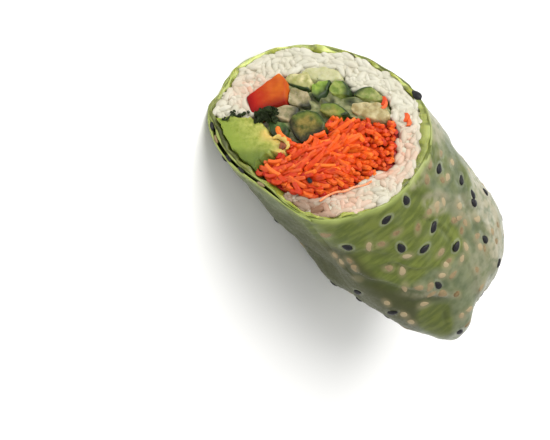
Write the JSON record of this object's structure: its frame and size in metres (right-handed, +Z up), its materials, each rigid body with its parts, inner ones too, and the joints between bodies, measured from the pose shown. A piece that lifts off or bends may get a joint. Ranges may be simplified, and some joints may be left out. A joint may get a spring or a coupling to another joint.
{
  "type": "sliced rice paper roll",
  "caption": "Half of a diagonally cut rice paper roll lying on its long side, with rice, avocado, red pepper, cucumber sticks and shredded carrot running through it to the slanted cut face.",
  "frame": {"origin": "under the middle of the half's bounding box, on the surface it rests on", "axes": "+Z up, +Y along the roll from the cut face towards the folded end, +X across the roll"},
  "size_m": [0.0504, 0.0922, 0.0472],
  "materials": {
    "rice_paper": "moist translucent rice paper over a green leaf, satin, softly wrinkled, dotted with sesame",
    "green_leaf": "bright yellow-green salad leaf, satin",
    "rice": "cooked rice, moist and slightly glossy",
    "avocado": "creamy avocado flesh, yellow-green turning green at its outer side",
    "red_pepper": "wet red pepper flesh, glossy",
    "cucumber": "wet pale green cucumber flesh with a dark green skin edge",
    "carrot": "moist shredded carrot, orange with darker red gaps"
  },
  "bodies": {
    "root": {"rice_paper": "rice_paper", "green_leaf": "green_leaf", "rice": "rice", "avocado": "avocado", "red_pepper": "red_pepper", "cucumber_1": "cucumber", "cucumber_2": "cucumber", "cucumber_3": "cucumber", "cucumber_4": "cucumber", "cucumber_5": "cucumber", "cucumber_6": "cucumber", "cucumber_7": "cucumber", "cucumber_8": "cucumber", "cucumber_9": "cucumber", "cucumber_10": "cucumber", "carrot": "carrot"}
  },
  "joints": []
}
